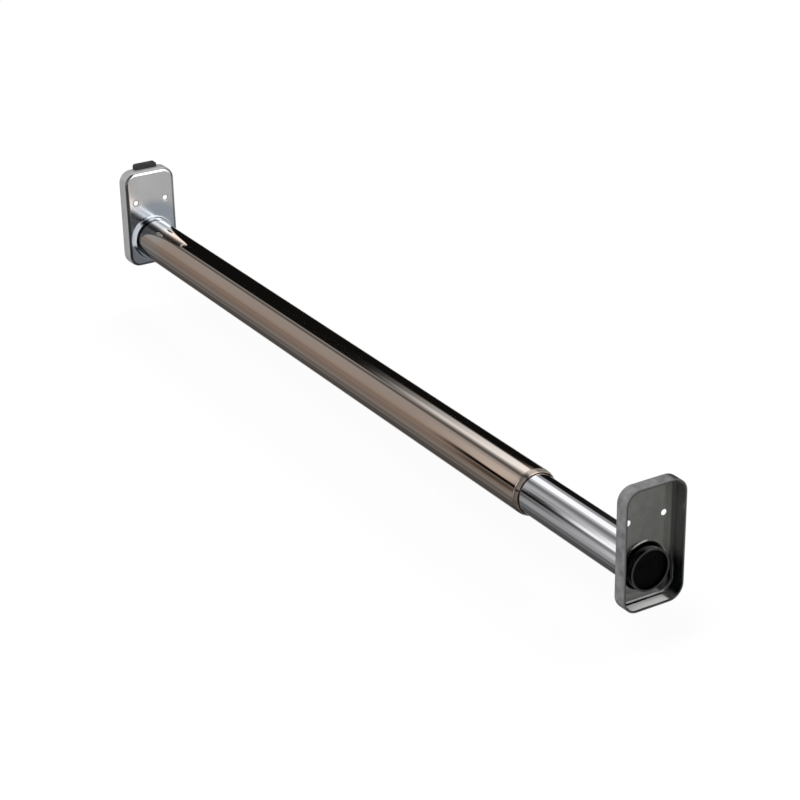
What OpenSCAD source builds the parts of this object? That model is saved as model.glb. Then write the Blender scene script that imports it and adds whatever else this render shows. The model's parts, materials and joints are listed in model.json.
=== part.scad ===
// Adjustable closet rod: two telescoping steel tubes, each pressed into a
// cup-shaped wall flange. X runs along the rod from the large tube's wall to
// the small tube's wall, Z is up, and Y is across. The origin is at the middle
// of the flanges' lower edges, at the length shown in the picture.

/* [Rod] */
// Distance between the two wall planes, as shown
rod_length = 540; // [500:1:700]
// Shortest distance between the two wall planes
closed_length = 457.9; // [456:0.1:470]
// Gap from the mouth to the other flange's neck when closed
closed_gap = 0.8; // [0.5:0.1:3]
// Outside diameter of the large tube
outer_d = 25.4; // [24:0.1:25.6]
// Wall of both tubes
tube_wall = 1; // [0.8:0.05:1.1]
// Room between the two tubes, on the radius
tube_room = 0.6; // [0.5:0.01:0.8]
// Wall plane to the end of each tube
end_recess = 3; // [2:0.1:5]
// How much of the small tube lies inside the large one, as shown
overlap = 337; // [200:1:400]

/* [Mouth] */
// Length of the rolled-in lip at the large tube's mouth
lip_length = 3; // [2.4:0.1:6]
// Thickness of the lip's rounded edge
lip_edge = 0.55; // [0.4:0.05:0.8]
// Gap between the lip and the small tube
lip_gap = 0.3; // [0.25:0.01:0.4]

/* [Guide sleeve] */
// Length of the split plastic sleeve
sleeve_length = 14; // [8:0.5:24]
// End play of the sleeve in its groove, at each end
end_play = 0.3; // [0.2:0.05:0.6]
// Small tube's hidden end to its groove
groove_margin = 4; // [2:0.5:10]
// Depth of the rolled groove that holds the sleeve
groove_depth = 0.5; // [0.4:0.05:0.6]
// Running clearance of the sleeve, on the radius
sleeve_play = 0.06; // [0.04:0.01:0.08]
// Width of the slit in the sleeve
sleeve_slit = 1.6; // [1:0.1:3]

/* [Flange] */
// Side of the large tube to a flange's side edge
flange_side = 4.7; // [4.5:0.1:7.3]
// Flange above the rod's axis
flange_above = 45.6; // [42:0.1:60]
// Bottom of the large tube to a flange's lower edge
flange_foot = 5.5; // [4.5:0.1:11]
// Depth of a flange from the wall
flange_depth = 8.6; // [7.5:0.1:14]
// Thickness of the flange's steel
sheet = 1; // [0.8:0.05:1.1]
// Corner radius of the flange's outline
corner_r = 8; // [6:0.1:10]
// Outside radius of the bend from the face to the rim
bend_r = 2.4; // [1.4:0.1:2.8]

/* [Neck and screw holes] */
// Height of the drawn neck on the rod side of the face
neck_h = 3.5; // [3:0.1:5]
// Inside radius of the neck's root bend
neck_root = 0.8; // [0.2:0.05:1.2]
// Diameter of a screw hole
screw_d = 3.2; // [2.8:0.1:4.6]
// Diameter of a screw hole's countersink
sink_d = 5.4; // [5:0.1:7.2]
// Distance between the two screw holes
screw_spacing = 20.6; // [18:0.1:23]
// Height of the screw holes above the rod's axis
screw_height = 25.2; // [24:0.1:28]

/* [Plugs and pad] */
// Depth of the end plug's face inside the tube
plug_recess = 2.2; // [1:0.1:3]
// Length of an end plug's skirt
plug_length = 7; // [5:0.1:9]
// Thickness of an end plug's disc and skirt
plug_wall = 1.4; // [1:0.1:2]
// Width of the rubber pad on the large tube's flange
pad_w = 15.2; // [10:0.1:18]
// Wall plane to the pad
pad_set = 0.3; // [0.2:0.1:1]
// Thickness of the pad along the rod
pad_t = 3.4; // [3:0.1:5]
// Height of the pad
pad_h = 3.4; // [2.6:0.1:5]

/* [Hidden] */
$fn = 96;
outer_r = outer_d / 2;
outer_bore = outer_r - tube_wall;
inner_r = outer_bore - tube_room;
inner_bore = inner_r - tube_wall;
// The mouth's end clears the other flange's neck when the rod is closed
mouth_x = closed_length - flange_depth - neck_h - closed_gap;
lip_bore = inner_r + lip_gap;
tip_r = lip_edge / 2;
// Radius of the lip's outside, tangent to the tube and to the rounded edge
tip_in = outer_r - lip_bore - tip_r;
tip_along = lip_length - tip_r;
lip_bend = (tip_along * tip_along + tip_in * tip_in - tip_r * tip_r) / (2 * (tip_in - tip_r));
tip_lean = [lip_bend - tip_in, tip_along] / (lip_bend - tip_r);
inner_start = mouth_x - overlap;
groove_start = inner_start + groove_margin;
groove_length = sleeve_length + 2 * end_play;
half_w = outer_r + flange_side;
flange_below = outer_r + flange_foot;
neck_bend = neck_root + sheet;
neck_foot = sheet / 4;
steel = "silver";

// Local Z of the children becomes the rod's direction, at the rod's axis
module along_rod(at) {
    translate([at - rod_length / 2, 0, flange_below]) rotate([0, 90, 0]) children();
}

// The near end is the far end mirrored at its own wall plane
module at_near_wall() {
    along_rod(rod_length) mirror([0, 0, 1]) children();
}

// Rim, bend and a strip of the face, drawn outward from a corner's centre
module cup_section() {
    translate([corner_r - sheet, 0]) square([sheet, flange_depth - bend_r]);
    translate([corner_r - bend_r, flange_depth - bend_r]) intersection() {
        difference() {
            circle(r = bend_r);
            circle(r = bend_r - sheet);
        }
        square(bend_r + 1);
    }
    translate([0, flange_depth - sheet]) square([corner_r - bend_r, sheet]);
}

module cup_edge(length) {
    rotate([90, 0, 0]) linear_extrude(length, center = true) cup_section();
}

module cup_corner(turn) {
    rotate([0, 0, turn]) rotate_extrude(angle = 90) cup_section();
}

// Pressed cup, open to the wall, made round its own middle; local -X is up
module cup() {
    tall = (flange_above + flange_below) / 2 - corner_r;
    wide = half_w - corner_r;
    translate([(flange_below - flange_above) / 2, 0, 0]) {
        for (turn = [0, 180]) rotate([0, 0, turn]) {
            translate([tall, wide, 0]) cup_corner(0);
            translate([tall, -wide, 0]) cup_corner(270);
            translate([tall, 0, 0]) cup_edge(2 * wide);
            translate([0, wide, 0]) rotate([0, 0, 90]) cup_edge(2 * tall);
        }
        // The plate runs into the bent edges by one sheet
        translate([-tall - sheet, -wide - sheet, flange_depth - sheet])
            cube([2 * (tall + sheet), 2 * (wide + sheet), sheet]);
    }
}

// Sheet drawn up round the tube: a root bend and a straight neck
module neck(tube_r) {
    root = flange_depth - sheet + neck_bend;
    rotate_extrude() {
        translate([tube_r + neck_bend, root]) intersection() {
            difference() {
                circle(r = neck_bend);
                circle(r = neck_root);
            }
            translate([-neck_bend, -neck_bend]) square(neck_bend);
        }
        translate([tube_r, root]) square([sheet, flange_depth + neck_h - root]);
        // The neck's foot runs into the plate
        translate([tube_r + neck_bend, flange_depth - sheet]) square([neck_foot, sheet]);
    }
}

module flange(tube_r) {
    difference() {
        cup();
        cylinder(r = tube_r + neck_bend, h = 3 * flange_depth, center = true);
        for (side = [-1, 1]) translate([-screw_height, side * screw_spacing / 2, 0]) {
            cylinder(d = screw_d, h = 2 * flange_depth);
            translate([0, 0, flange_depth - sheet * 0.6])
                cylinder(d1 = screw_d, d2 = sink_d, h = sheet * 0.6);
        }
    }
    neck(tube_r);
}

// Cup-shaped plastic plug, its disc towards the wall
module plug(bore_r) {
    translate([0, 0, end_recess + plug_recess]) difference() {
        cylinder(r = bore_r, h = plug_length);
        translate([0, 0, plug_wall]) cylinder(r = bore_r - plug_wall, h = plug_length);
    }
}

module outer_tube() {
    tip = [lip_bore + tip_r, mouth_x - tip_r];
    color("tan") along_rod(0) rotate_extrude() difference() {
        union() {
            translate([outer_bore, end_recess])
                square([tube_wall, mouth_x - lip_length - end_recess]);
            // The lip curves in and ends in a rounded tip
            intersection() {
                translate([outer_r - lip_bend, mouth_x - lip_length]) circle(r = lip_bend);
                polygon([[lip_bore, mouth_x - lip_length], [lip_bore, tip[1]], tip,
                         tip + 4 * tip_r * tip_lean, [outer_r + 1, mouth_x - lip_length]]);
            }
            translate(tip) circle(r = tip_r);
        }
        polygon([[0, mouth_x - lip_length - 1], [outer_bore, mouth_x - lip_length - 1],
                 [outer_bore, mouth_x - lip_length], [lip_bore, mouth_x - lip_length / 2],
                 [0, mouth_x - lip_length / 2]]);
    }
}

module inner_tube() {
    groove_r = inner_r - groove_depth;
    color(steel) along_rod(0) rotate_extrude() difference() {
        translate([groove_r - tube_wall, inner_start])
            square([inner_r - groove_r + tube_wall, rod_length - end_recess - inner_start]);
        translate([groove_r, groove_start]) square([inner_r, groove_length]);
        translate([0, inner_start - 1]) square([inner_bore, groove_start - inner_start]);
        translate([0, groove_start + groove_length + 1]) square([inner_bore, rod_length]);
    }
}

module guide_sleeve() {
    sleeve_in = inner_r - groove_depth + sleeve_play;
    sleeve_out = outer_bore - sleeve_play;
    color("ivory") along_rod(groove_start + end_play) difference() {
        cylinder(r = sleeve_out, h = sleeve_length);
        translate([0, 0, -1]) cylinder(r = sleeve_in, h = sleeve_length + 2);
        translate([0, -sleeve_slit / 2, -1]) cube([outer_d, sleeve_slit, sleeve_length + 2]);
    }
}

module far_flange() {
    color(steel) along_rod(0) flange(outer_r);
}

module near_flange() {
    color(steel) at_near_wall() flange(inner_r);
}

module far_plug() {
    color("black") along_rod(0) plug(outer_bore);
}

module near_plug() {
    color("black") at_near_wall() plug(inner_bore);
}

// Rubber strip stuck on the flange's top rim, with rounded shoulders
module top_pad() {
    shoulder = pad_h / 2;
    color("black") translate([pad_set - rod_length / 2, 0, flange_below + flange_above])
        rotate([90, 0, 90]) linear_extrude(pad_t) {
            translate([-pad_w / 2, 0]) square([pad_w, pad_h - shoulder]);
            translate([-pad_w / 2 + shoulder, 0]) square([pad_w - 2 * shoulder, pad_h]);
            for (side = [-1, 1]) translate([side * (pad_w / 2 - shoulder), pad_h - shoulder])
                circle(r = shoulder);
        }
}

outer_tube();
inner_tube();
guide_sleeve();
far_flange();
near_flange();
far_plug();
near_plug();
top_pad();
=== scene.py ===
"""Scene for the adjustable closet rod: materials, floor, studio light and camera."""
import json
import math

import bpy
from mathutils import Matrix, Vector


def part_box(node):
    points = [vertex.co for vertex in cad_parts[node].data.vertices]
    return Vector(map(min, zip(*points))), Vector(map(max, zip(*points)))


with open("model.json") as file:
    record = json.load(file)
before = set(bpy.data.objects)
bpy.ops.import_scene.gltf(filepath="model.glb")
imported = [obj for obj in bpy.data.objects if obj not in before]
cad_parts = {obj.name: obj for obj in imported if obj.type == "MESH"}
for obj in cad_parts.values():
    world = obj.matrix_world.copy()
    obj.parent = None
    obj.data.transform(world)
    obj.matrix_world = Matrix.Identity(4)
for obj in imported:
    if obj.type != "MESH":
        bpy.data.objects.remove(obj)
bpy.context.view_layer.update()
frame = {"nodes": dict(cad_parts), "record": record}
nodes = frame["nodes"]

far_low, far_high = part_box("far_flange")
near_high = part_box("near_flange")[1]
large_low, large_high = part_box("outer_tube")
small_low, small_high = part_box("inner_tube")

# Places along the rod, in metres: the wall planes, the large tube's mouth and
# the small tube's end in its flange
FAR_WALL = far_low[0]
NEAR_WALL = near_high[0]
MOUTH = large_high[0]
SMALL_END = small_high[0]

# Height of the rod's axis and the radii of the tubes, in metres
AXIS = (large_low[2] + large_high[2]) / 2
LARGE_RADIUS = (large_high[2] - large_low[2]) / 2
SMALL_RADIUS = (small_high[2] - small_low[2]) / 2

# Sizes of a flange, in metres. Its neck stands out from its face, and a screw
# hole lies HOLE_SIDE from the middle and HOLE_HEIGHT above the axis.
HALF_WIDTH = far_high[1]
FLANGE_BOTTOM = far_low[2]
FLANGE_TOP = far_high[2]
NECK_HEIGHT = 0.0035
FLANGE_DEPTH = far_high[0] - FAR_WALL - NECK_HEIGHT
CORNER_RADIUS = 0.008
SHEET = 0.001
MOUNTS = {mount["name"]: mount for mount in frame["record"]["mounts"]}
SCREWS = MOUNTS["far_screws"]
HOLE_SIDE = SCREWS["dims"]["spacing_x_mm"] / 1000 / 2
HOLE_HEIGHT = SCREWS["pos_m"][2] - AXIS

# Areas of the flanges' colour, in the order in which they are painted. Most of
# them are painted shade, highlight and reflection. Each is a part of the area
# named first, kept on one side of some edges. An edge is a measure, the side
# that is kept, the edge's place and its blur, in metres.
# The first areas are the rim, the face, the front, which is the face without
# the rim, and the inside, which is the rest.
# The measures are depth from the wall, across (+Y), up from the flange's lower
# edge, height above the axis, radius from the axis, neck from the tube's side,
# hole from the nearer screw hole's middle, and inset from the flange's outline.
RIM_EDGE = ("inset", "below", SHEET * 0.5, SHEET * 0.2)
FACE_EDGE = ("depth", "above", FLANGE_DEPTH - SHEET * 0.5, SHEET * 0.2)
AREAS = {
    # Painted highlight along the face's top bend
    "top_bend": ("face", [("up", "above", FLANGE_TOP - 0.0021, 0.0004)]),
    # Painted reflection: a cool, darker tint round the neck, where the tube is mirrored
    "blued": ("front", [("radius", "below", 0.0245, 0.0035)]),
    # Painted shade on the face below the axis
    "foot": ("front", [("height", "below", -0.003, 0.003)]),
    # Painted reflection on the neck: dark all round, with a paler top and a pale crescent on the
    # -Y side
    "collar": ("face", [("neck", "below", 0.0026, 0.0003)]),
    "collar_top": ("collar", [("across", "above", -0.004, 0.002),
                              ("height", "above", 0.006, 0.003)]),
    "crescent": ("collar", [("across", "below", -0.0085, 0.0012),
                            ("height", "above", -0.0035, 0.001),
                            ("depth", "below", FLANGE_DEPTH + 0.0033, 0.0001)]),
    # Painted shade inside the dish: on its +Y wall, its low part, by the wall, in its lower +Y
    # corner and along its bend
    "right": ("inside", [("across", "above", 0.0115, 0.0045)]),
    "low_plate": ("inside", [("up", "below", 0.0075, 0.002)]),
    "wall_side": ("inside", [("across", "above", 0.0150, 0.0012)]),
    "corner": ("inside", [("across", "above", 0.0135, 0.0015),
                          ("up", "below", 0.020, 0.006)]),
    "bend": ("inside", [("depth", "above", 0.0064, 0.0002),
                        ("inset", "below", 0.0026, 0.0002)]),
    # Painted light: a bright, unmetallic patch on the dish's low inner face
    "patch": ("inside", [("up", "below", 0.0018, 0.0003),
                         ("across", "below", 0.0098, 0.0012),
                         ("depth", "above", 0.0006, 0.0002),
                         ("depth", "below", 0.0062, 0.0002)]),
    # Painted shade in the groove at the neck's root
    "root": ("inside", [("neck", "below", 0.0011, 0.0006),
                        ("across", "below", 0.004, 0.002)]),
    # Painted shade on the rim's upper +Y corner
    "rim_corner": ("rim", [("across", "above", 0.0098, 0.0018),
                           ("up", "above", 0.0560, 0.0022)]),
    "glint": ("inside", [("neck", "above", 0.0017, 0.0002),
                         ("neck", "below", 0.0027, 0.0003),
                         ("height", "above", 0.0112, 0.0012),
                         ("across", "below", 0.001, 0.0012)]),
    "cut_edge": ("all", [("depth", "below", 0.00025, 0.0001)]),
    "sink": ("face", [("hole", "below", 0.0027, 0.0002)]),
}

# Colour of each area of the two flanges, and what differs in metal and roughness.
# The two looks are lit and shaded copies of one plated steel, the near one
# painted darker, and the inside and most areas hold painted shade, highlight
# and reflection.
FAR_LOOK = {
    "plate": (0.675, 0.67, 0.672), "plate_tint": (0.595, 0.58, 0.58),
    "inside": (0.50, 0.50, 0.46), "inside_tint": (0.56, 0.55, 0.53),
    "rim": (0.56, 0.56, 0.57), "rim_tint": (0.48, 0.48, 0.49),
    "rim_corner": (0.45, 0.45, 0.46), "top_bend": (0.93, 0.93, 0.93),
    "blued": (0.41, 0.45, 0.50), "foot": (0.20, 0.215, 0.24),
    "collar": (0.24, 0.265, 0.30), "collar_top": (0.60, 0.64, 0.69),
    "crescent": (0.82, 0.86, 0.90), "root": (0.02, 0.02, 0.02),
    "right": (0.42, 0.43, 0.41), "wall_side": (0.38, 0.39, 0.38),
    "corner": (0.30, 0.31, 0.31), "low_plate": (0.45, 0.45, 0.44),
    "bend": (0.25, 0.25, 0.25), "cut_edge": (0.20, 0.20, 0.20),
    "patch": (0.60, 0.60, 0.59), "glint": (0.60, 0.60, 0.58),
    "sink_metal": 0.15, "roughness": 0.16, "inside_roughness": 0.26,
}
NEAR_LOOK = {
    "plate": (0.62, 0.62, 0.60), "plate_tint": (0.54, 0.54, 0.51),
    "inside": (0.42, 0.42, 0.39), "inside_tint": (0.50, 0.49, 0.475),
    "rim": (0.34, 0.34, 0.345), "rim_tint": (0.17, 0.17, 0.175),
    "rim_corner": (0.03, 0.03, 0.032), "top_bend": (0.60, 0.60, 0.60),
    "blued": (0.46, 0.48, 0.50), "foot": (0.45, 0.46, 0.48),
    "collar": (0.50, 0.52, 0.55), "collar_top": (0.58, 0.60, 0.63),
    "crescent": (0.60, 0.62, 0.65), "root": (0.04, 0.04, 0.042),
    "right": (0.30, 0.31, 0.27), "wall_side": (0.17, 0.18, 0.17),
    "corner": (0.025, 0.04, 0.036), "low_plate": (0.19, 0.19, 0.185),
    "bend": (0.16, 0.16, 0.16), "cut_edge": (0.17, 0.17, 0.17),
    "patch": (0.97, 0.97, 0.96), "glint": (0.80, 0.80, 0.77),
    "sink_metal": 0.6, "roughness": 0.2, "inside_roughness": 0.2,
}

# Stretches of the tubes with another colour, most of them painted highlight
# and shade: start, end and blur in metres along the rod, and the colour. An
# end past the tube leaves no edge.
PAST_END = 0.005
LARGE_ZONES = [
    # Painted highlight on the tube by the far neck, and a painted contact shadow by the neck's
    # edge
    (FAR_WALL - 0.030, FAR_WALL + 0.040, 0.0080, (0.80, 0.765, 0.73)),
    (FAR_WALL + 0.010, FAR_WALL + 0.0138, 0.0006, (0.10, 0.09, 0.09)),
    # Painted shade on the rolled lip, its inner part, and its very edge
    (MOUTH - 0.0035, MOUTH + PAST_END, 0.0004, (0.50, 0.42, 0.365)),
    (MOUTH - 0.0023, MOUTH + PAST_END, 0.0004, (0.42, 0.35, 0.305)),
    (MOUTH - 0.00035, MOUTH + PAST_END, 0.0001, (0.60, 0.50, 0.435)),
]
SMALL_ZONES = [
    # Painted shade on the stretch inside the near flange, and the tube's cut end
    (NEAR_WALL - 0.0088, SMALL_END + PAST_END, 0.0002, (0.015, 0.015, 0.016)),
    (SMALL_END - 0.00015, SMALL_END + PAST_END, 0.0001, (0.20, 0.20, 0.205)),
]

# Plated tubes: node, material, two colours, roughness, haze, bump, zones
PLATED = [
    ("outer_tube", "warm_nickel",
     (0.80, 0.668, 0.577), (0.77, 0.638, 0.547), 0.045, 0.02, 0.05, LARGE_ZONES),
    ("inner_tube", "bright_chrome",
     (0.80, 0.80, 0.82), (0.77, 0.77, 0.80), 0.05, 0.03, 0.03, SMALL_ZONES),
]

# Flanges: node, material, wall plane, radius of its tube, look
PRESSED = [
    ("far_flange", "pressed_steel_far", FAR_WALL, LARGE_RADIUS, FAR_LOOK),
    ("near_flange", "pressed_steel_near", NEAR_WALL, SMALL_RADIUS, NEAR_LOOK),
]

# Noise in the finishes: scale per metre and detail. The drawing lines are
# stretched along the rod.
DRAWN_LINES = (700, 3)
DRAWN_STRETCH = (0.012, 1.0, 1.0)
TUBE_HAZE = (28, 4)
STEEL_MOTTLE = (60, 4)
STEEL_SPOTS = (260, 3)
STEEL_GRAIN = (1500, 2)
MOULD_CLOUDS = (220, 3)
MOULD_DETAIL = 2

# Depth of the bumps in metres
TUBE_BUMP = 0.00002
STEEL_BUMP = 0.00003
MOULD_BUMP = 0.00005

# Moulded pieces: node, material, two colours, roughness, grain, bump, gloss
MOULDED = [
    ("far_plug", "plug_plastic_far",
     (0.02, 0.02, 0.02), (0.03, 0.028, 0.03), 0.5, 2500, 0.3, 0.3),
    # The near plug is a blacker, less glossy copy of the far plug's plastic: painted shade
    ("near_plug", "plug_plastic_near",
     (0.0015, 0.0015, 0.0015), (0.004, 0.0035, 0.004), 0.6, 2500, 0.3, 0.03),
    ("top_pad", "pad_rubber",
     (0.03, 0.03, 0.032), (0.05, 0.05, 0.052), 0.7, 3000, 0.5, 0.4),
    ("guide_sleeve", "sleeve_plastic",
     (0.80, 0.77, 0.68), (0.74, 0.71, 0.62), 0.45, 1500, 0.2, 0.5),
]

# Studio as polished metal sees it. A card is a soft-edged area: its middle and
# half width are degrees round the rod (0 is +Y, 90 is up, 180 is -Y, 270 is
# down), its start and end are degrees from the far wall's direction, -X. A
# later card lies over the earlier ones. The large tube mirrors what lies
# before LARGE_LIMIT in the photograph's view, and the small tube what lies
# beyond it. A start of POLE and an end of PAST_POLE leave no edge there.
POLE = -20
PAST_POLE = 200
ALL_ROUND = 181
LARGE_LIMIT = 42.85
STUDIO = [
    # name, level, middle, half width, blur, start, end, blur of start and end
    ("rear dark, far", 0.006, 38, 60, 6, POLE, 54, 5),
    ("front dark edge", 0.12, 107, 9, 5, POLE, 60, 5),
    ("front wall", 0.35, 140, 27, 5, POLE, 62, 6),
    ("front wall, foot", 0.25, 173, 10, 6, POLE, 62, 6),
    ("front floor", 0.22, 197, 18, 7, POLE, 62, 6),
    ("front floor, low", 0.15, 228, 16, 8, POLE, 62, 6),
    ("under, front", 0.08, 254, 14, 8, POLE, 100, 6),
    ("under, rear", 0.04, 276, 12, 6, POLE, 100, 6),
    ("rear floor", 0.16, 308, 22, 6, POLE, 54, 6),
    ("side room", 0.3, 0, ALL_ROUND, 1, 66, 122, 4),
    ("strip's far end", 0.7, 85, 9, 5, 39.2, 42, 1.6),
    ("ceiling strip", 1.22, 72.5, 18.5, 7, 40.5, 122, 3),
    ("strip's shoulder", 0.6, 90, 5, 3, 42.5, 62, 0.3),
    ("strip's front edge", 0.11, 105, 5, 3, 39, 122, 2),
    ("strip's edge, inner", 0.23, 106, 5, 3, LARGE_LIMIT, 47, 0.3),
    ("strip's foot, inner", 0.38, 46, 8, 4, LARGE_LIMIT, 60, 0.3),
    ("front wall, near", 0.62, 141, 17, 9, 41, 62, 2),
    ("front wall, inner", 0.33, 138, 9, 5, LARGE_LIMIT, 44.4, 0.3),
    ("front floor, dip", 0.08, 186, 9, 5, 41.0, 43.5, 0.7),
    ("front floor, inner", 0.36, 206, 14, 6, LARGE_LIMIT, 62, 0.2),
    ("front floor, foot", 0.44, 190, 12, 6, 44.3, 62, 0.6),
    ("front floor, near", 0.62, 190, 9, 6, 45.6, 62, 0.4),
    ("horizon", 0.0, 167, 7, 3, 40.6, 44.6, 0.6),
    ("second strip, far", 0.62, 153, 7, 4, 41.6, 42.6, 0.3),
    ("horizon, upper", 0.02, 156, 9, 4, 42.8, 44.1, 0.3),
    ("second strip", 1.15, 153, 7, 3, 44.45, 60, 0.4),
    ("second strip, upper", 1.12, 140, 8, 4, 45.3, 60, 0.4),
    ("corner by the mouth", 0.12, 165, 70, 12, 58, 70, 3),
    ("side wall", 0.42, 140, 26, 6, 68, 122, 6),
    ("side horizon", 0.03, 171, 4, 2, 68, 122, 6),
    ("side floor", 0.3, 196, 19, 6, 68, 106, 6),
    ("side floor, dark", 0.10, 202, 30, 8, 106, 122, 3),
    ("side floor, low", 0.18, 228, 14, 6, 68, 106, 6),
    ("side, under", 0.07, 264, 18, 8, 66, 122, 6),
    ("rear floor, side", 0.24, 312, 24, 8, 66, 122, 6),
    ("rear horizon", 0.03, -6, 8, 3, 60, 122, 6),
    ("rear wall, side", 0.42, 28, 20, 6, 60, 122, 6),
    ("near floor", 0.17, 318, 32, 6, 122, 141, 3),
    ("near floor, beyond", 0.6, 318, 32, 6, 144, PAST_POLE, 3),
    ("low lamp", 2.1, 51, 15, 5, 122, 142, 4),
    ("low lamp, beyond", 2.2, 56, 12, 5, 144, PAST_POLE, 3),
    ("band lamp", 3.0, 4, 17, 5, 144, PAST_POLE, 3),
    ("near ceiling, low", 0.3, 79, 8, 5, 122, PAST_POLE, 3),
    ("near ceiling", 0.03, 97, 16, 5, 122, PAST_POLE, 3),
    ("near wall", 0.17, 140, 27, 5, 122, PAST_POLE, 3),
    ("near wall, foot", 0.3, 182, 15, 5, 122, PAST_POLE, 3),
    ("near pit", 0.05, 226, 30, 6, 122, PAST_POLE, 3),
    ("near pit, under", 0.10, 272, 16, 5, 122, PAST_POLE, 3),
    ("far room", 0.28, 0, ALL_ROUND, 1, POLE, 21, 2),
    ("far room, lamp", 0.9, 90, 32, 12, POLE, 21, 2),
    ("far room, floor", 0.18, 270, 60, 14, POLE, 21, 2),
]

# Tints of what the large tube mirrors: colour, middle, half width and blur in
# degrees round the rod, up to LARGE_LIMIT and its blur
TINTS = [
    ((0.96, 1.04, 1.11), 74, 26, 8),
    ((1.0, 0.97, 0.95), 138, 20, 8),
    ((1.0, 0.87, 0.79), 179, 26, 11),
]
LIMIT_BLUR = 0.2

# Level of the light on rough surfaces, and the lamps' width in metres
WHITE = (1.0, 1.0, 1.0)
PLAIN_LEVEL = 0.75
LAMP_SIZE = 0.9

# Colours of the floor's paper as the object and as the camera sees it, and the
# glow that is added for the camera
PAPER = (0.86, 0.86, 0.86)
SHOWN_PAPER = (0.25, 0.25, 0.25)
PAPER_GLOW = 0.78

# The floor lies just below a flange that is turned upside down
FLOOR_HALF = 6.0
FLOOR_LEVEL = 2 * AXIS - FLANGE_TOP - 0.0011

# Camera that was fitted to the photograph, in metres, degrees and millimetres
CAMERA_PLACE = (0.963817, -0.552564, 0.514518)
CAMERA_AZIMUTH = 58.966
CAMERA_ELEVATION = 24.786
CAMERA_ROLL = -1.112
CAMERA_LENS = 98.232


class Graph:
    """A node tree with short calls for the nodes that this scene uses."""

    def __init__(self, tree):
        self.tree = tree
        tree.nodes.clear()

    def link(self, value, socket):
        """Link a socket to another one, or set it; a colour gets its alpha."""
        if isinstance(value, tuple):
            missing = len(socket.default_value) - len(value)
            socket.default_value = value + (1.0,) * missing
        elif isinstance(value, (int, float)):
            socket.default_value = value
        else:
            self.tree.links.new(value, socket)

    def node(self, kind, sockets, **settings):
        """A node with its settings made and its input sockets linked or set."""
        made = self.tree.nodes.new(kind)
        for name, value in settings.items():
            setattr(made, name, value)
        for name, value in sockets.items():
            self.link(value, made.inputs[name])
        return made

    def math(self, operation, *values):
        sockets = dict(enumerate(values))
        return self.node("ShaderNodeMath", sockets, operation=operation).outputs[0]

    def minus(self, first, second):
        return self.math("SUBTRACT", first, second)

    def product(self, first, *others):
        for other in others:
            first = self.math("MULTIPLY", first, other)
        return first

    def length(self, first, second):
        squares = [self.product(side, side) for side in (first, second)]
        return self.math("SQRT", self.math("ADD", *squares))

    def above(self, value, middle, blur):
        """0 below the middle and 1 above it, with a soft edge."""
        sockets = {"Value": value, "From Min": middle - blur, "From Max": middle + blur}
        made = self.node("ShaderNodeMapRange", sockets, interpolation_type="SMOOTHSTEP")
        return made.outputs["Result"]

    def below(self, value, middle, blur):
        return self.minus(1.0, self.above(value, middle, blur))

    def mix(self, share, first, second):
        sockets = {0: share, 2: first, 3: second}
        made = self.node("ShaderNodeMix", sockets, data_type="FLOAT", clamp_factor=True)
        return made.outputs[0]

    def mix_colour(self, share, first, second):
        sockets = {0: share, 6: first, 7: second}
        made = self.node("ShaderNodeMix", sockets, data_type="RGBA", clamp_factor=True)
        return made.outputs[2]

    def mix_shader(self, share, first, second):
        sockets = {0: share, 1: first, 2: second}
        return self.node("ShaderNodeMixShader", sockets).outputs[0]

    def split(self, vector):
        return self.node("ShaderNodeSeparateXYZ", {0: vector}).outputs

    def coordinates(self, kind):
        return self.node("ShaderNodeTexCoord", {}).outputs[kind]

    def noise(self, place, scale, detail, stretch=None):
        if stretch:
            sockets = {"Vector": place, "Scale": stretch}
            place = self.node("ShaderNodeMapping", sockets).outputs[0]
        sockets = {"Vector": place, "Scale": scale, "Detail": detail}
        return self.node("ShaderNodeTexNoise", sockets).outputs["Fac"]

    def swing(self, noise, amount):
        """Noise moved to lie round zero and scaled."""
        return self.product(self.minus(noise, 0.5), amount)

    def bump(self, height, strength, distance):
        sockets = {"Height": height, "Strength": strength, "Distance": distance}
        return self.node("ShaderNodeBump", sockets).outputs[0]

    def ray(self, kind):
        return self.node("ShaderNodeLightPath", {}).outputs[kind]

    def surface(self, colour, metal, rough, normal, gloss=0.5):
        sockets = {"Base Color": colour, "Metallic": metal, "Roughness": rough,
                   "Specular IOR Level": gloss, "Normal": normal}
        shader = self.node("ShaderNodeBsdfPrincipled", sockets).outputs[0]
        self.node("ShaderNodeOutputMaterial", {"Surface": shader})


def new_material(name):
    material = bpy.data.materials.new(name)
    material.use_nodes = True
    return material, Graph(material.node_tree)


def add_to_scene(name, data):
    made = bpy.data.objects.new(name, data)
    bpy.context.scene.collection.objects.link(made)
    return made


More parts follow.
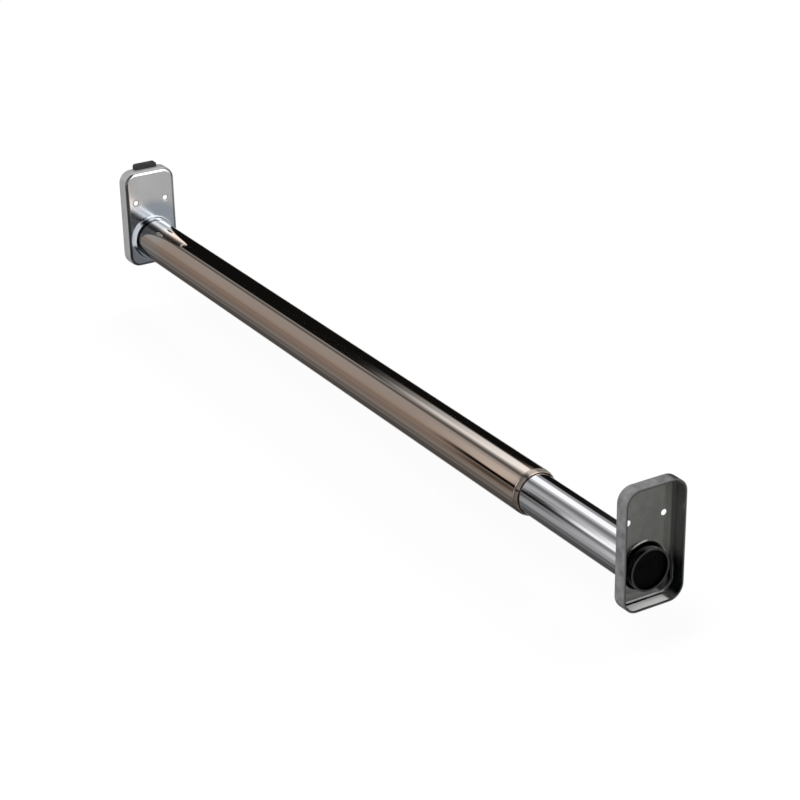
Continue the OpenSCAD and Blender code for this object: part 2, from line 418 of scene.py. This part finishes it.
def light_studio():
    """Plain light for rough surfaces, the studio for mirrors, white for the camera."""
    world = bpy.data.worlds.new("studio")
    bpy.context.scene.world = world
    world.use_nodes = True
    world.cycles.sampling_method = "NONE"
    graph = Graph(world.node_tree)
    east, north, up = graph.split(graph.coordinates("Generated"))
    away = graph.math("DEGREES", graph.math("ARCCOSINE", graph.product(east, -1.0)))
    turn = graph.math("DEGREES", graph.math("ARCTAN2", up, north))

    def card(middle, half, blur, start, end, fade):
        offset = graph.math("WRAP", graph.minus(turn, middle), 180.0, -180.0)
        inside = graph.below(graph.math("ABSOLUTE", offset), half, blur)
        return graph.product(inside, graph.above(away, start, fade),
                             graph.below(away, end, fade * 2))

    def background(colour, level):
        sockets = {"Color": colour, "Strength": level}
        return graph.node("ShaderNodeBackground", sockets).outputs[0]

    level = 1.0
    for name, value, *area in STUDIO:
        level = graph.mix(card(*area), level, value)
        level.node.label = name
    tint = WHITE
    for colour, middle, half, blur in TINTS:
        share = card(middle, half, blur, POLE, LARGE_LIMIT, LIMIT_BLUR)
        tint = graph.mix_colour(share, tint, colour)
    lit = graph.mix_shader(graph.ray("Is Glossy Ray"), background(WHITE, PLAIN_LEVEL),
                           background(tint, level))
    seen = graph.math("MAXIMUM", graph.ray("Is Camera Ray"), graph.ray("Is Transmission Ray"))
    shown = graph.mix_shader(seen, lit, background(WHITE, 1.0))
    graph.node("ShaderNodeOutputWorld", {"Surface": shown})


def make_lamp(name, place, power):
    """A soft lamp that points at the origin and isn't mirrored."""
    data = bpy.data.lights.new(name, "AREA")
    data.shape = "RECTANGLE"
    data.size = LAMP_SIZE
    data.size_y = LAMP_SIZE
    data.energy = power
    lamp = add_to_scene(name, data)
    lamp.location = place
    lamp.rotation_mode = "QUATERNION"
    lamp.rotation_quaternion = (-Vector(place)).to_track_quat("-Z", "Y")
    lamp.visible_glossy = False
    lamp.visible_camera = False


def floor_paper():
    """Grey paper that lights the object, and near-white paper for the camera."""
    material, graph = new_material("floor_paper")
    paper = graph.node("ShaderNodeBsdfDiffuse", {"Color": PAPER}).outputs[0]
    shown = graph.node("ShaderNodeBsdfDiffuse", {"Color": SHOWN_PAPER}).outputs[0]
    glow = graph.node("ShaderNodeEmission", {"Strength": PAPER_GLOW}).outputs[0]
    bright = graph.node("ShaderNodeAddShader", {0: shown, 1: glow}).outputs[0]
    seen = graph.mix_shader(graph.ray("Is Camera Ray"), paper, bright)
    graph.node("ShaderNodeOutputMaterial", {"Surface": seen})
    return material


def make_floor():
    mesh = bpy.data.meshes.new("floor")
    corners = [(-1, -1), (1, -1), (1, 1), (-1, 1)]
    mesh.from_pydata([(x * FLOOR_HALF, y * FLOOR_HALF, 0) for x, y in corners], [], [(0, 1, 2, 3)])
    mesh.materials.append(floor_paper())
    floor = add_to_scene("floor", mesh)
    floor.location.z = FLOOR_LEVEL
    floor.visible_glossy = False


def make_camera():
    azimuth, elevation, roll = (math.radians(angle) for angle in
                                (CAMERA_AZIMUTH, CAMERA_ELEVATION, CAMERA_ROLL))
    back = Vector((math.sin(azimuth) * math.cos(elevation),
                   -math.cos(azimuth) * math.cos(elevation), math.sin(elevation)))
    right = Vector((math.cos(azimuth), math.sin(azimuth), 0))
    up = back.cross(right)
    rolled_right = right * math.cos(roll) + up * math.sin(roll)
    rolled_up = up * math.cos(roll) - right * math.sin(roll)
    data = bpy.data.cameras.new("camera")
    data.sensor_width = 36
    data.lens = CAMERA_LENS
    data.clip_start = 0.01
    data.clip_end = 50
    camera = add_to_scene("camera", data)
    turned = Matrix((rolled_right, rolled_up, back)).transposed().to_4x4()
    camera.matrix_world = Matrix.Translation(CAMERA_PLACE) @ turned
    bpy.context.scene.camera = camera


def plated(name, colour, tint, roughness, haze, bump, zones):
    """Plated tube: fine drawing lines along the rod, a slow haze, a faint tint, and stretches of
    painted highlight and shade.
    """
    material, graph = new_material(name)
    place = graph.coordinates("Object")
    drawn = graph.noise(place, *DRAWN_LINES, stretch=DRAWN_STRETCH)
    slow = graph.noise(place, *TUBE_HAZE)
    finish = graph.mix_colour(graph.above(slow, 0.5, 0.3), colour, tint)
    along = graph.split(place)[0]
    for start, end, blur, shade in zones:
        inside = graph.product(graph.above(along, start, blur), graph.below(along, end, blur))
        finish = graph.mix_colour(inside, finish, shade)
    uneven = graph.math("ADD", graph.swing(drawn, haze), graph.swing(slow, haze))
    rough = graph.math("ADD", uneven, roughness)
    graph.surface(finish, 1.0, rough, graph.bump(drawn, bump, TUBE_BUMP))
    return material


def outline_inset(graph, across, up):
    """How far inside the flange's rounded outline a point lies, in metres."""
    middle = (FLANGE_TOP + FLANGE_BOTTOM) / 2
    tall = (FLANGE_TOP - FLANGE_BOTTOM) / 2 - CORNER_RADIUS
    wide = HALF_WIDTH - CORNER_RADIUS
    over = graph.minus(graph.math("ABSOLUTE", graph.minus(up, middle)), tall)
    side = graph.minus(graph.math("ABSOLUTE", across), wide)
    outer = graph.length(graph.math("MAXIMUM", over, 0.0), graph.math("MAXIMUM", side, 0.0))
    inner = graph.math("MINIMUM", graph.math("MAXIMUM", over, side), 0.0)
    return graph.minus(CORNER_RADIUS, graph.math("ADD", outer, inner))


def flange_areas(graph, place, wall, tube_radius):
    """How much each area of a flange's finish covers a point, from 0 to 1."""
    along, across, up = graph.split(place)
    height = graph.minus(up, AXIS)
    radius = graph.length(across, height)
    measures = {
        "depth": graph.math("ABSOLUTE", graph.minus(wall, along)),
        "across": across,
        "up": up,
        "height": height,
        "radius": radius,
        "neck": graph.minus(radius, tube_radius),
        "hole": graph.length(graph.minus(graph.math("ABSOLUTE", across), HOLE_SIDE),
                             graph.minus(height, HOLE_HEIGHT)),
        "inset": outline_inset(graph, across, up),
    }
    sides = {"above": graph.above, "below": graph.below}

    def kept(measure, side, middle, blur):
        return sides[side](measures[measure], middle, blur)

    rim = kept(*RIM_EDGE)
    face = kept(*FACE_EDGE)
    areas = {
        "all": 1.0,
        "rim": rim,
        "face": face,
        "front": graph.minus(face, graph.product(face, rim)),
        "inside": graph.minus(1.0, graph.math("MAXIMUM", rim, face)),
    }
    for name, (base, edges) in AREAS.items():
        areas[name] = graph.product(areas[base], *(kept(*edge) for edge in edges))
    return areas


def pressed_steel(name, wall, tube_radius, look):
    """Plated pressed steel: dull rolled rim, clearer plate, and painted shade, highlights and
    reflections, such as the dark inside and neck root.
    """
    material, graph = new_material(name)
    place = graph.coordinates("Object")
    areas = flange_areas(graph, place, wall, tube_radius)
    slow = graph.noise(place, *STEEL_MOTTLE)
    spots = graph.noise(place, *STEEL_SPOTS)
    fine = graph.noise(place, *STEEL_GRAIN)
    mottle = graph.above(slow, 0.5, 0.25)
    flecks = graph.above(spots, 0.5, 0.3)
    # The inside's darker colour is painted shade
    inside = graph.mix_colour(flecks, look["inside"], look["inside_tint"])
    edge = graph.mix_colour(flecks, look["rim"], look["rim_tint"])
    colour = graph.mix_colour(mottle, look["plate"], look["plate_tint"])
    colour = graph.mix_colour(areas["inside"], colour, inside)
    colour = graph.mix_colour(areas["rim"], colour, edge)
    # Paint the areas' shade, highlights and reflections over it
    for area in AREAS:
        if area in look:
            colour = graph.mix_colour(areas[area], colour, look[area])
    metal = 1.0
    for area, level in (("rim", 0.3), ("crescent", 0.3), ("sink", look["sink_metal"]),
                        ("right", 0.45), ("wall_side", 0.72), ("corner", 1.0),
                        ("patch", 0.0), ("glint", 0.3)):
        metal = graph.mix(areas[area], metal, level)
    rough = look["roughness"]
    for area, level in (("rim", 0.42), ("inside", look["inside_roughness"]),
                        ("patch", 0.15), ("sink", 0.5)):
        rough = graph.mix(areas[area], rough, level)
    rough = graph.math("ADD", rough, graph.swing(slow, 0.12))
    relief = graph.math("ADD", spots, graph.product(fine, 0.3))
    graph.surface(colour, metal, rough, graph.bump(relief, 0.2, STEEL_BUMP))
    return material


def moulded(name, colour, tint, roughness, grain, bump, gloss):
    """Moulded plastic or rubber: fine grain, slow colour and gloss changes."""
    material, graph = new_material(name)
    place = graph.coordinates("Object")
    slow = graph.noise(place, *MOULD_CLOUDS)
    fine = graph.noise(place, grain, MOULD_DETAIL)
    finish = graph.mix_colour(graph.above(slow, 0.5, 0.25), colour, tint)
    rough = graph.math("ADD", graph.swing(slow, 0.25), roughness)
    graph.surface(finish, 0.0, rough, graph.bump(fine, bump, MOULD_BUMP), gloss)
    return material


def paint(node, material):
    mesh = nodes[node].data
    mesh.materials.clear()
    mesh.materials.append(material)


light_studio()
make_lamp("key", (0.5, -0.9, 1.3), 6)
make_lamp("fill", (-0.6, 0.9, 1.0), 3)
make_floor()
make_camera()

for node, *finish in PLATED:
    paint(node, plated(*finish))
for node, *finish in PRESSED:
    paint(node, pressed_steel(*finish))
for node, *finish in MOULDED:
    paint(node, moulded(*finish))

settings = bpy.context.scene.view_settings
settings.view_transform = "Standard"
